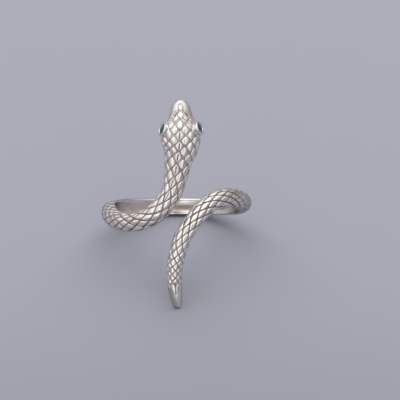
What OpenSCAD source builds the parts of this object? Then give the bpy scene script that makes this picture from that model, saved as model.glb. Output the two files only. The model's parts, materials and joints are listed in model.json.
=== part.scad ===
// Snake ring: a snake cast in silver that goes once round the finger, with its head along the finger on
// one side and a tapering tail on the other. It lies on its side, on the tip of its tail and on a flat on
// the back of its band.

/* [Finger] */
// Inside diameter of the ring
finger_d = 17.3; // [16.5:0.1:18.2]

/* [Scales] */
// Depth of the groove between two scales
groove_depth = 0.14; // [0.06:0.01:0.2]
// Share of a scale, from its corner to its middle, that slopes into the groove
groove_share = 0.2; // [0.12:0.01:0.3]
// Rise of a scale's middle above its rim
scale_dome = 0.05; // [0.02:0.01:0.12]

/* [Eyes] */
// Diameter of an eye stone
stone_d = 1.3; // [1.1:0.05:1.4]
// Wall of the cup round a stone
cup_wall = 0.27; // [0.22:0.01:0.3]
// Gap between a stone and its cup
stone_gap = 0.03; // [0.02:0.01:0.05]

/* [Lie on the side] */
// How far the finger's axis leans back from upright
lean_back = 33.65; // [33.5:0.01:33.8]
// Roll about the line that runs from the front to the back
roll = 0.14; // [-0.2:0.01:0.4]
// Turn of the ring on the surface
swing = 0; // [-180:1:180]

/* [Hidden] */
finger_r = finger_d / 2;

// Stations from the snout to the tail tip, along the middle of the back.
// Columns: turn about the finger from the front, to the right (degrees), place along the finger towards the
// head, width across, height above the finger, length of one scale, angle of half a scale on the back
// (degrees), depth of the relief from 0 (plain) to 1
TURN = 0;
ALONG = 1;
WIDTH = 2;
HEIGHT = 3;
SCALE = 4;
SPREAD = 5;
RELIEF = 6;
stations = [
    [3.6, 14.78, 0.70, 0.85, 1.15, 22, 0],
    [3.6, 14.64, 1.35, 1.22, 1.15, 22, 0],
    [3.6, 14.38, 1.90, 1.55, 1.15, 22, 1],
    [3.6, 14.00, 2.24, 1.80, 1.16, 22, 1],
    [3.6, 13.40, 2.60, 2.08, 1.20, 22, 1],
    [3.6, 12.85, 3.00, 2.30, 1.30, 21, 1],
    [3.6, 12.20, 3.75, 2.52, 1.45, 20, 1],
    [3.6, 11.20, 4.70, 2.80, 1.56, 19, 1],
    [3.6, 10.10, 5.35, 2.90, 1.42, 19, 1],
    [3.6, 9.20, 5.15, 2.85, 1.38, 20, 1],
    [3.5, 8.20, 4.62, 2.75, 1.52, 22, 1],
    [2.7, 7.24, 4.07, 2.60, 1.70, 24, 1],
    [1.8, 6.41, 3.68, 2.50, 1.84, 26, 1],
    [1.0, 5.44, 3.37, 2.40, 1.93, 28, 1],
    [-0.3, 4.34, 3.14, 2.30, 1.95, 29, 1],
    [-1.8, 3.24, 2.95, 2.25, 1.97, 30, 1],
    [-5.4, 1.78, 2.72, 2.20, 2.0, 30, 1],
    [-16.4, -0.36, 2.75, 2.15, 2.0, 30, 1],
    [-30.4, -1.61, 2.58, 2.10, 2.0, 30, 1],
    [-41.9, -1.90, 2.52, 2.05, 2.0, 30, 1],
    [-58.4, -1.74, 2.50, 2.00, 2.0, 30, 1],
    [-75, -1.20, 2.50, 1.97, 2.0, 30, 1],
    [-90, -0.62, 2.50, 1.96, 2.0, 30, 1],
    [-103, -0.40, 2.48, 1.93, 2.0, 30, 1],
    [-117, -0.27, 2.45, 1.90, 2.4, 30, 0],
    [-145, -0.20, 2.40, 1.85, 4.4, 30, 0],
    [-180, -0.18, 2.38, 1.80, 6.6, 30, 0],
    [-215, -0.16, 2.40, 1.85, 3.7, 30, 0],
    [-243, 0.02, 2.45, 1.90, 2.4, 30, 0],
    [-257, 0.28, 2.48, 1.93, 2.0, 30, 1],
    [-270, 0.62, 2.50, 1.96, 2.0, 30, 1],
    [-290, 1.20, 2.50, 2.00, 2.0, 30, 1],
    [-312, 1.54, 2.50, 2.00, 2.0, 30, 1],
    [-330, 0.72, 2.45, 2.05, 1.9, 30, 1],
    [-341.8, -0.97, 2.40, 2.05, 1.75, 30, 1],
    [-353.1, -3.55, 2.38, 2.05, 1.75, 30, 1],
    [-357.5, -5.31, 2.36, 2.00, 1.5, 30, 1],
    [-360, -7.16, 2.23, 1.90, 1.15, 30, 1],
    [-361, -8.39, 2.08, 1.80, 1.0, 30, 1],
    [-361.1, -9.73, 1.96, 1.65, 1.0, 30, 1],
    [-361, -10.4, 1.88, 1.55, 1.0, 30, 0],
    [-360.9, -11.1, 1.76, 1.42, 1.0, 30, 0],
    [-360.5, -11.93, 1.49, 1.22, 0.9, 30, 0],
    [-359.6, -12.76, 1.08, 0.98, 0.8, 30, 0],
    [-359.1, -13.25, 0.74, 0.78, 0.8, 30, 0],
    [-359.1, -13.50, 0.46, 0.62, 0.8, 30, 0],
];
// Distances from the snout of the plain rings that close it, and of the first scale's middle
snout_rings = [0, 0.08, 0.22, 0.42];
first_scale = 0.68;

// Depth that the casting first has inside the finger's surface, before the finger hole is cut
bite = 0.45;
// Share of the height at which the body is widest
belly_share = 0.36;
// Sides of the section below its widest point are fuller than an ellipse's
belly_fullness = 0.6;
// Scales round the whole section, counted in half scales; the middle of the back is at one of them
half_scales = 16;
crown = 4;
// Scales are raised as far as this angle from the middle of the back
raised_to = 92;

// Path of the back: chord lengths from the snout to each station, measured on a cylinder inside the metal
path_r = finger_r + 1;
function chord(k) =
    let (a = stations[k], b = stations[k + 1])
    norm([(b[TURN] - a[TURN]) * PI / 180 * path_r, b[ALONG] - a[ALONG]]);
function reach(k) = k == 0 ? 0 : reach(k - 1) + chord(k - 1);
knots = [for (k = [0:len(stations) - 1]) reach(k)];
last = len(stations) - 1;
path_end = knots[last];

// Slope of every column at a station
function slope(k) =
    let (a = max(k - 1, 0), b = min(k + 1, last))
    (stations[b] - stations[a]) / (knots[b] - knots[a]);
slopes = [for (k = [0:last]) slope(k)];

// All columns at a distance u from the snout, as a smooth curve through the stations
function station_at(u) =
    let (
        v = min(max(u, 0), path_end),
        k = min(len([for (q = knots) if (q <= v) 1]), last) - 1,
        h = knots[k + 1] - knots[k],
        t = (v - knots[k]) / h,
        t2 = t * t,
        t3 = t2 * t
    )
    (2 * t3 - 3 * t2 + 1) * stations[k] + (t3 - 2 * t2 + t) * h * slopes[k]
    + (3 * t2 - 2 * t3) * stations[k + 1] + (t3 - t2) * h * slopes[k + 1];

function centre(s) =
    let (r = finger_r + belly_share * s[HEIGHT])
    [r * sin(s[TURN]), -r * cos(s[TURN]), s[ALONG]];
function unit(v) = v / norm(v);

// Section frame at a distance u: centre, direction across, direction away from the finger, and the columns.
// The path's direction is taken over a short step each way.
path_step = 0.02;
function frame_at(u) =
    let (
        s = station_at(u),
        ahead = centre(station_at(u + path_step)) - centre(station_at(u - path_step)),
        away = [sin(s[TURN]), -cos(s[TURN]), 0],
        across = unit(cross(ahead, away))
    )
    [centre(s), across, unit(cross(across, ahead)), s];

// Point of a section at an angle from its widest point on one side, over the back, raised along the normal
function skin(f, angle, rise) =
    let (
        s = f[3],
        half = s[WIDTH] / 2,
        up = (1 - belly_share) * s[HEIGHT],
        down = belly_share * s[HEIGHT] + bite,
        c = cos(angle),
        d = sin(angle),
        lower = d < 0,
        a = half * sign(c) * pow(abs(c), lower ? belly_fullness : 1),
        o = lower ? -down * pow(-d, belly_fullness) : up * d,
        lift = unit([c / half, d / up])
    )
    f[0] + (a + lift.x * rise) * f[1] + (o + lift.y * rise) * f[2];

// Angle of column j: even steps over the back, and smaller ones below
function column_angle(f, j) =
    let (
        k = j - crown > half_scales / 2 ? j - crown - half_scales : j - crown,
        spread = f[3][SPREAD],
        over = min(abs(k), crown),
        below = 180 / crown - spread
    )
    90 + sign(k) * (over * spread + (abs(k) - over) * below);

// Distances of the scale corners along the path, half a scale apart; the last stretch is no shorter than this
shortest_end = 0.4;
function steps(u) =
    u > path_end - shortest_end ? [path_end] : concat([u], steps(u + station_at(u)[SCALE] / 2));
rows = concat(snout_rings, steps(first_scale));
row_count = len(rows) - 1;
function row_place(i) =
    let (k = min(floor(i), row_count - 1))
    rows[k] + (i - k) * (rows[k + 1] - rows[k]);
function relief_at(f) = min(max(f[3][RELIEF], 0), 1);

// Rings are counted with i from the snout, half scales with j round the section
function is_middle(i, j) = (i + j) % 2 == 0;
first_raised = len(snout_rings) - 1;
least_relief = 0.05;

// Points at the crossings and the middles of the scales
row_frames = [for (u = rows) frame_at(u)];
function is_back(i, j) = abs(column_angle(row_frames[i], j) - 90) < raised_to;
function is_raised(i, j) =
    i >= first_raised && i < row_count && is_middle(i, j) && is_back(i, j)
    && row_frames[i][3][RELIEF] > least_relief;
function node_rise(i, j) =
    is_raised(i, j) ? scale_dome : !is_middle(i, j) && is_back(i, j) ? -groove_depth : 0;
node_points = [
    for (i = [0:row_count]) for (j = [0:half_scales - 1])
        let (f = row_frames[i])
        skin(f, column_angle(f, j), node_rise(i, j) * relief_at(f))
];
raised = [for (i = [0:row_count]) for (j = [0:half_scales - 1]) if (is_raised(i, j)) [i, j]];
// A raised scale has a rim and a ring on its dome, four points each, at these shares of the way out to its
// corners
rim = 1 - groove_share;
half_way = 0.5;
// Share of the dome's rise that the ring on it has
half_way_rise = 0.7;
function scale_ring(i, j, share, rise) = [
    for (q = [[1, 0], [0, -1], [-1, 0], [0, 1]])
        let (f = frame_at(row_place(i + q.x * share)))
        skin(f, column_angle(f, j + q.y * share), rise * relief_at(f))
];
raised_points = [
    for (q = raised)
        each concat(scale_ring(q.x, q.y, rim, 0), scale_ring(q.x, q.y, half_way, scale_dome * half_way_rise))
];
end_points = [frame_at(0)[0], frame_at(path_end)[0]];

raised_start = len(node_points);
snout_index = raised_start + len(raised_points);
tip_index = snout_index + 1;
function node_index(i, j) = i * half_scales + (j + half_scales) % half_scales;

// Corners of the scale round the middle (i, j), in turn
function corners(i, j) = [
    node_index(i + 1, j), node_index(i, j - 1), node_index(i - 1, j), node_index(i, j + 1)
];
function fan(middle, ring) = [for (n = [0:3]) [middle, ring[n], ring[(n + 1) % 4]]];
function band(inner, outer) = [
    for (n = [0:3])
        each [
            [inner[n], outer[n], outer[(n + 1) % 4]],
            [inner[n], outer[(n + 1) % 4], inner[(n + 1) % 4]],
        ]
];
plain_faces = [
    for (i = [1:row_count - 1]) for (j = [0:half_scales - 1])
        if (is_middle(i, j) && !is_raised(i, j)) each fan(node_index(i, j), corners(i, j))
];
raised_faces = [
    for (n = [0:len(raised) - 1])
        let (
            i = raised[n].x,
            j = raised[n].y,
            first = raised_start + n * 8,
            rim_ring = [for (m = [0:3]) first + m],
            dome_ring = [for (m = [4:7]) first + m]
        )
        each concat(
            band(rim_ring, corners(i, j)),
            band(dome_ring, rim_ring),
            fan(node_index(i, j), dome_ring)
        )
];
// Half scales and flat ends that close the lattice at the snout and at the tail tip
end_faces = [
    for (j = [0:half_scales - 1])
        each concat(
            is_middle(0, j) ? [
                [node_index(0, j), node_index(0, j + 1), node_index(1, j)],
                [node_index(0, j), node_index(1, j), node_index(0, j - 1)],
            ] : [],
            is_middle(row_count, j) ? [
                [node_index(row_count, j), node_index(row_count - 1, j), node_index(row_count, j + 1)],
                [node_index(row_count, j), node_index(row_count, j - 1), node_index(row_count - 1, j)],
            ] : [],
            [
                [snout_index, node_index(0, j + 1), node_index(0, j)],
                [tip_index, node_index(row_count, j), node_index(row_count, j + 1)],
            ]
        )
];
casting_points = concat(node_points, raised_points, end_points);
casting_faces = concat(plain_faces, raised_faces, end_faces);

// Eyes: place of the rim of a cup, and the way that it faces; the right one lies further out and nearer the
// snout than the left one
eye_out = [2.56, 2.80];
eye_along = [11.13, 11.33];
eye_front = 10.4;
eye_middle = 0.6;
eye_forward = 20;
eye_up = 24;
stone_r = stone_d / 2;
cup_r = stone_r + stone_gap + cup_wall;
cup_depth = 1.15;
girdle_below = 0.12;
girdle_h = 0.04;
pocket_depth = 0.72;
seat_share = 0.8;
seat_r = stone_r * seat_share;
// Cutters for the stone's place end this high above where they start, clear of the rim
cutter_h = 1;
cup_sides = 48;
hole_sides = 180;
// Length of the finger hole's cutter, longer than the ring
hole_h = 40;

// Brilliant cut with this many main facets, and its sizes as shares of the stone's radius
mains = 8;
table_share = 0.56;
star_share = 0.78;
crown_h = 0.30;
star_h = 0.17;
pavilion_h = 0.84;
main_share = 0.52;
main_h = 0.44;

// Turns and lays the ring on the surface: lowest point at z = 0, middle of the outline at the origin
function turned(p) =
    let (
        a = [p.x, p.y * cos(lean_back) + p.z * sin(lean_back), -p.y * sin(lean_back) + p.z * cos(lean_back)],
        b = [a.x * cos(roll) + a.z * sin(roll), a.y, -a.x * sin(roll) + a.z * cos(roll)]
    )
    [b.x * cos(swing) - b.y * sin(swing), b.x * sin(swing) + b.y * cos(swing), b.z];
// Points that stay once the finger hole is cut, with the corners that the cut leaves at the end of the tail
function from_axis(p) = norm([p.x, p.y]);
function cut_corner(p, q) = p + (q - p) * (finger_r - from_axis(p)) / (from_axis(q) - from_axis(p));
tail_corners = [
    for (j = [0:half_scales - 1])
        let (p = node_points[node_index(row_count, j)], q = node_points[node_index(row_count, j + 1)])
        if (from_axis(p) < finger_r != from_axis(q) < finger_r) cut_corner(p, q)
];
kept_points = concat([for (p = casting_points) if (from_axis(p) > finger_r) p], tail_corners);
lain = [for (p = kept_points) turned(p)];
low = [for (c = [0:2]) min([for (p = lain) p[c]])];
high = [for (c = [0:2]) max([for (p = lain) p[c]])];
shift = [-(low.x + high.x) / 2, -(low.y + high.y) / 2, -low.z];

module lie() {
    translate(shift) rotate([-lean_back, roll, swing]) children();
}

// Puts its children in a cup, with +Z out of the rim; side is 1 on the right and -1 on the left
module at_eye(side) {
    which = side > 0 ? 1 : 0;
    translate([eye_middle + side * eye_out[which], -eye_front, eye_along[which]])
        rotate([0, 0, side > 0 ? -eye_up : 180 + eye_up])
            rotate([0, 90 - eye_forward, 0])
                children();
}

module casting() {
    polyhedron(casting_points, casting_faces);
}

module snake_body() {
    color("silver") lie() difference() {
        union() {
            casting();
            for (side = [-1, 1]) at_eye(side) translate([0, 0, -cup_depth])
                cylinder(h = cup_depth, r = cup_r, $fn = cup_sides);
        }
        // The hole's seam lies at the front, between the head and the tail
        rotate([0, 0, -90]) cylinder(h = hole_h, r = finger_r, $fn = hole_sides, center = true);
        for (side = [-1, 1]) at_eye(side) {
            translate([0, 0, -girdle_below - girdle_h - stone_gap])
                cylinder(h = cutter_h, r = stone_r + stone_gap, $fn = cup_sides);
            translate([0, 0, -pocket_depth]) cylinder(h = cutter_h, r = seat_r, $fn = cup_sides);
        }
    }
}

// Ring of points round a stone, starting half a facet on where half_on is 1
function ring_of(r, z, count, half_on) = [
    for (k = [0:count - 1])
        let (angle = (k + half_on / 2) * 360 / count)
        [r * cos(angle), r * sin(angle), z]
];

// Stone with its girdle's upper edge at z = 0. Each ring starts at a named place in the list of points.
module brilliant() {
    round = 2 * mains;
    points = concat(
        ring_of(stone_r * table_share, stone_r * crown_h, mains, 0),
        ring_of(stone_r * star_share, stone_r * star_h, mains, 1),
        ring_of(stone_r, 0, round, 0),
        ring_of(stone_r, -girdle_h, round, 0),
        ring_of(stone_r * main_share, -girdle_h - stone_r * main_h, mains, 0),
        [[0, 0, -girdle_h - stone_r * pavilion_h]]
    );
    star = mains;
    upper = star + mains;
    lower = upper + round;
    main = lower + round;
    culet = main + mains;
    faces = concat(
        [[for (k = [mains - 1:-1:0]) k]],
        [for (k = [0:mains - 1]) let (n = (k + 1) % mains) each [
            [k, n, star + k],
            [k, star + k, upper + 2 * k],
            [k, upper + 2 * k, star + (k + mains - 1) % mains],
            [star + k, upper + 2 * k + 1, upper + 2 * k],
            [star + k, upper + (2 * k + 2) % round, upper + 2 * k + 1],
        ]],
        [for (k = [0:round - 1]) let (n = (k + 1) % round) [upper + k, upper + n, lower + n, lower + k]],
        [for (k = [0:mains - 1]) let (n = (k + 1) % mains) each [
            [main + k, lower + 2 * k, lower + 2 * k + 1],
            [main + k, lower + 2 * k + 1, main + n],
            [main + n, lower + 2 * k + 1, lower + (2 * k + 2) % round],
            [main + k, main + n, culet],
        ]]
    );
    polyhedron(points, faces);
}

module eye_stone(side) {
    color("seagreen") lie() at_eye(side) translate([0, 0, -girdle_below]) brilliant();
}

snake_body();
eye_stone(-1);  // eye_stone_left
eye_stone(1);  // eye_stone_right
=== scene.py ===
import json
import math
import bpy
import numpy as np
from mathutils import Matrix, Vector


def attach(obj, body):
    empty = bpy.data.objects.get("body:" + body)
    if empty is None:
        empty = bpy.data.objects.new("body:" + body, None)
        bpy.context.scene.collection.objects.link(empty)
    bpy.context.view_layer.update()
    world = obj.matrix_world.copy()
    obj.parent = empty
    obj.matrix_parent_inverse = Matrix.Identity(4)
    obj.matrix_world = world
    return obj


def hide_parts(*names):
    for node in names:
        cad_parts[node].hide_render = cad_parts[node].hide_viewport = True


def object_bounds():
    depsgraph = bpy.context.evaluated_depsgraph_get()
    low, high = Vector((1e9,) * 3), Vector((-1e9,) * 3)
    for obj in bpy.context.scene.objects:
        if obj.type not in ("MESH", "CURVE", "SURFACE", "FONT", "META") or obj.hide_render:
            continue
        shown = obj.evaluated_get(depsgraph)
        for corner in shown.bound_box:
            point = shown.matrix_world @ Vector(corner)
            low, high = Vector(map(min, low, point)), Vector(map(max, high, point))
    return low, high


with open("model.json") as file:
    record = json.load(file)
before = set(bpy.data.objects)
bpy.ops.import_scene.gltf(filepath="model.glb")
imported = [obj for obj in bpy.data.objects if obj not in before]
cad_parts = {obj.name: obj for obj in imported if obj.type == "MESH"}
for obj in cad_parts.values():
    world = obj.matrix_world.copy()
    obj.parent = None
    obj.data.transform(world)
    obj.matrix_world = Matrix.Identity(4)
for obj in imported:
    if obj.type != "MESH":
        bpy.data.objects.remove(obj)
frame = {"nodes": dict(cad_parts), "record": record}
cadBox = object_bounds()
scene = bpy.context.scene
scene.view_settings.view_transform = "Standard"
print("frame loaded:", sorted(frame["nodes"]))

# The ring's own frame, in millimetres: the finger's axis is +Z towards the head, the front is -Y, right is +X
mm = 0.001
fingerHole = frame["record"]["mounts"][0]
fingerAxis = Vector(fingerHole["axis"]).normalized()
ringCentre = Vector(fingerHole["pos_m"])
ringRight = Vector((0, 1, 0)).cross(fingerAxis).normalized()
ringBack = fingerAxis.cross(ringRight)
ringTurn = Matrix((ringRight, ringBack, fingerAxis)).transposed().to_4x4()
ringPlace = Matrix.Translation(ringCentre) @ ringTurn @ Matrix.Scale(mm, 4)


# A socket that takes part in sums; any node comes from Board.add
class Wire:
    def __init__(self, board, socket):
        self.board = board
        self.socket = socket

    def maths(self, operation, *values):
        node = self.board.add("ShaderNodeMath", {"operation": operation}, dict(enumerate(values)))
        return node[0]

    def __add__(self, other):
        return self.maths("ADD", self, other)

    def __sub__(self, other):
        return self.maths("SUBTRACT", self, other)

    def __rsub__(self, other):
        return self.maths("SUBTRACT", other, self)

    def __mul__(self, other):
        return self.maths("MULTIPLY", self, other)

    def __truediv__(self, other):
        return self.maths("DIVIDE", self, other)

    def __pow__(self, other):
        return self.maths("POWER", self, other)

    def __lt__(self, other):
        return self.maths("LESS_THAN", self, other)

    def __gt__(self, other):
        return self.maths("GREATER_THAN", self, other)

    __radd__ = __add__
    __rmul__ = __mul__

    def abs(self):
        return self.maths("ABSOLUTE", self)

    def sign(self):
        return self.maths("SIGN", self)

    def sin(self):
        return self.maths("SINE", self)

    def cos(self):
        return self.maths("COSINE", self)

    def min(self, other):
        return self.maths("MINIMUM", self, other)

    def max(self, other):
        return self.maths("MAXIMUM", self, other)

    def ramp(self, start, end):      # 0 before start, 1 after end, smooth between
        settings = {"interpolation_type": "SMOOTHSTEP"}
        return self.board.add("ShaderNodeMapRange", settings, {0: self, 1: start, 2: end})[0]


class Board:
    def __init__(self, tree):
        self.tree = tree

    def add(self, kind, settings=None, values=None):
        node = self.tree.nodes.new(kind)
        for name, value in (settings or {}).items():
            setattr(node, name, value)
        for key, value in (values or {}).items():
            socket = node.inputs[key]
            if isinstance(value, Wire):
                self.tree.links.new(value.socket, socket)
            else:
                socket.default_value = value
        return [Wire(self, s) for s in node.outputs if s.enabled]

    def vector(self, operation, *values):
        return self.add("ShaderNodeVectorMath", {"operation": operation}, dict(enumerate(values)))[0]

    def scaled(self, vector, factor):
        return self.add("ShaderNodeVectorMath", {"operation": "SCALE"}, {0: vector, 3: factor})[0]

    def parts(self, vector):
        return self.add("ShaderNodeSeparateXYZ", {}, {0: vector})

    def joined(self, x, y, z):
        return self.add("ShaderNodeCombineXYZ", {}, {0: x, 1: y, 2: z})[0]

    def dot(self, one, other):
        product = self.vector("DOT_PRODUCT", one, other)
        return Wire(self, product.socket.node.outputs["Value"])

    def mixed(self, kind, factor, one, other):      # kind is VECTOR or RGBA
        first = {"VECTOR": 4, "RGBA": 6}[kind]
        return self.add("ShaderNodeMix", {"data_type": kind}, {0: factor, first: one, first + 1: other})[0]

    def coordinates(self, name):
        return Wire(self, self.add("ShaderNodeTexCoord")[0].socket.node.outputs[name])

    def clouds(self, spot, scale, detail):
        return self.add("ShaderNodeTexNoise", {}, {"Vector": spot, "Scale": scale, "Detail": detail})[0]


# Geometry Nodes tree with named inputs; returns the tree, its board and its inputs as wires
def newTree(name, inputs, outputs):
    tree = bpy.data.node_groups.new(name, "GeometryNodeTree")
    for label, kind, preset in inputs:
        socket = tree.interface.new_socket(label, in_out="INPUT", socket_type=kind)
        if preset is not None:
            socket.default_value = preset
    for label, kind in outputs:
        tree.interface.new_socket(label, in_out="OUTPUT", socket_type=kind)
    board = Board(tree)
    entry = tree.nodes.new("NodeGroupInput")
    sockets = {s.name: Wire(board, s) for s in entry.outputs if s.name}
    return tree, board, sockets


def endTree(board, results):
    leave = board.tree.nodes.new("NodeGroupOutput")
    for name, wire in results.items():
        board.tree.links.new(wire.socket, leave.inputs[name])


# Runs a tree on an object with these inputs and leaves a plain mesh, with the modifier gone
def runTree(piece, tree, values):
    modifier = piece.modifiers.new(tree.name, "NODES")
    modifier.node_group = tree
    for item in tree.interface.items_tree:
        if item.in_out == "INPUT" and item.name in values:
            modifier[item.identifier] = values[item.name]
    settle(piece)


def settle(piece):
    bpy.context.view_layer.update()
    seen = piece.evaluated_get(bpy.context.evaluated_depsgraph_get())
    done = bpy.data.meshes.new_from_object(seen)
    piece.modifiers.clear()
    old = piece.data
    piece.data = done
    bpy.data.meshes.remove(old)


def newPiece(name, points, faces, numbers=None, vectors=None):
    mesh = bpy.data.meshes.new(name)
    mesh.from_pydata([tuple(p) for p in points], [], [tuple(f) for f in faces])
    for label, values in (numbers or {}).items():
        layer = mesh.attributes.new(label, "FLOAT", "POINT")
        layer.data.foreach_set("value", np.asarray(values, np.float32))
    for label, values in (vectors or {}).items():
        layer = mesh.attributes.new(label, "FLOAT_VECTOR", "POINT")
        layer.data.foreach_set("vector", np.asarray(values, np.float32).ravel())
    piece = bpy.data.objects.new(name, mesh)
    scene.collection.objects.link(piece)
    return piece


def discard(*pieces):
    for piece in pieces:
        mesh = piece.data
        bpy.data.objects.remove(piece)
        bpy.data.meshes.remove(mesh)


# Camera: at the photograph's angle, straight at the front of the ring and a little from the head's side
camera = {
    "distance": 350,     # mm from the middle of the ring
    "above": 1.8,        # degrees towards the head
    "aimRight": 3.333,   # mm that the view's middle lies to the right of the ring's
    "aimUp": 1.035,
    "lens": 222.08,
    "sensor": 36,
}


def makeCamera():
    above = math.radians(camera["above"])
    towards = Vector((0, -math.cos(above), math.sin(above)))
    up = Vector((0, math.sin(above), math.cos(above)))
    aim = Vector((1, 0, 0)) * camera["aimRight"] + up * camera["aimUp"]
    data = bpy.data.cameras.new("photoCamera")
    data.lens = camera["lens"]
    data.sensor_width = camera["sensor"]
    data.clip_start = 0.01
    data.clip_end = 20
    eye = bpy.data.objects.new("photoCamera", data)
    scene.collection.objects.link(eye)
    turn = Matrix((Vector((1, 0, 0)), up, towards)).transposed()
    place = ringPlace @ (towards * camera["distance"] + aim)
    eye.matrix_world = Matrix.Translation(place) @ ringTurn @ turn.to_4x4()
    scene.camera = eye
    return [ringTurn.to_3x3() @ way for way in (Vector((1, 0, 0)), up, towards)]


photoView = makeCamera()      # directions to the right, up and towards the camera

# The snake's body
snake = {
    "fingerR": 8.65,
    "bite": 0.45,           # how far the section first reaches inside the finger's surface
    "bellyShare": 0.36,     # share of the height at which the body is widest
    "bellyFullness": 0.6,   # sides below that are fuller than an ellipse's
    "pathR": 9.65,          # the path's length is measured on a cylinder of this radius
    "wallSoftness": 0.45,   # rounding of the edge where the finger's surface meets the sides
    "snoutRings": (0, 0.08, 0.22, 0.42),
    "firstScale": 0.68,
    "shortestEnd": 0.4,
    "scaledFrom": 8,        # rows of the lattice between which the scales are raised
    "scaledTo": 82,
    "sideColumn": 5,        # half scales from the middle of the back to the lattice's edge
    "columns": 16,          # half scales round the whole section
    "crown": 4,
    "steps": 6,             # parts of one edge of a scale
    "bottomParts": 2,       # parts of a half scale on the plain underside
    "fineParts": 12,        # parts of a half scale on the snout and the tail tip
    "plainStep": 0.05,      # mm between the rings of the snout and the tail tip
    "capInset": 0.03,
    "grooveDepth": 0.13,
    "domeRise": 0.055,
    "ridge": 0.07,          # how far the sides of a scale fall away from the line along its middle
    "tilt": 0.065,          # how far a scale's edge is tipped, at most
    "cornerCut": 0.3,       # share that a lens-shaped scale loses at its side corners
    "rhombusCut": 0.08,     # and a rhombus at all its corners
    "sideWidening": 0.06,   # extra share that the scales on the body's sides lose to the grooves
    "fluteDepth": 0.13,     # shallow hollow along the inside of the back
    "fluteFrom": 45,        # degrees from the middle of the back between which it runs out
    "fluteTo": 75,
    "fluteAcross": (0.05, 0.8),     # shares of the half width between which it runs out sideways
    "fluteSkin": 0.02,      # mm outside the finger's surface up to which the section is hollowed
    "slitDepth": 0.1,       # cut along the middle of the scales on the head's midline, in these rows
    "slitRows": (9.5, 21.5),
    "fullTo": 95,           # the relief fades between these angles from the middle of the back
    "goneAt": 115,
    "mergeWithin": 0.002,
    "seed": 7,
}
# Where the cuts, slits and oxide lie on a scale, in half scales, and on which rows and columns
scaleMarks = {
    "cutPower": 1.6,        # how sharply the cut grows towards a side corner, and towards the other two
    "endCutPower": 2,
    "wideFrom": 1,          # columns from the back's middle between which the side widening sets in
    "wideTo": 3,
    "lensRidge": 0.5,       # share of its ridge that a lens-shaped scale loses
    "slitHalf": (0.06, 0.14),       # half width of the slit's floor and mouth
    "slitReach": 0.63,
    "rhombusDark": (0.02, 0.4),     # shares of the groove's depth between which the oxide sets in
    "lensDark": (0.2, 0.9),
    "satinRows": (8, 30),   # rows between which the head's satin finish runs out
    "endShare": 1.6,        # how far the last groove reaches beyond the lattice's end scales
    "endRows": (0.1, 0.9),
}
# Brown oxide in the hollow inside the back, laid on thicker than the oxide alone as painted shade: thinner on the
# head's side, and thinner to the left, where less painted shade is put
innerOxideAndShade = {
    "amount": 0.85,
    "headSide": (-0.3, 0.4),        # shares of the half width, and how much thinner it gets over them
    "thinner": 0.5,
    "fromLeft": (-4, 1),    # mm to the right of the ring's middle, the amount before them and the painted shade added over them
    "left": 0.8,
    "more": 0.5,
}

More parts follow.
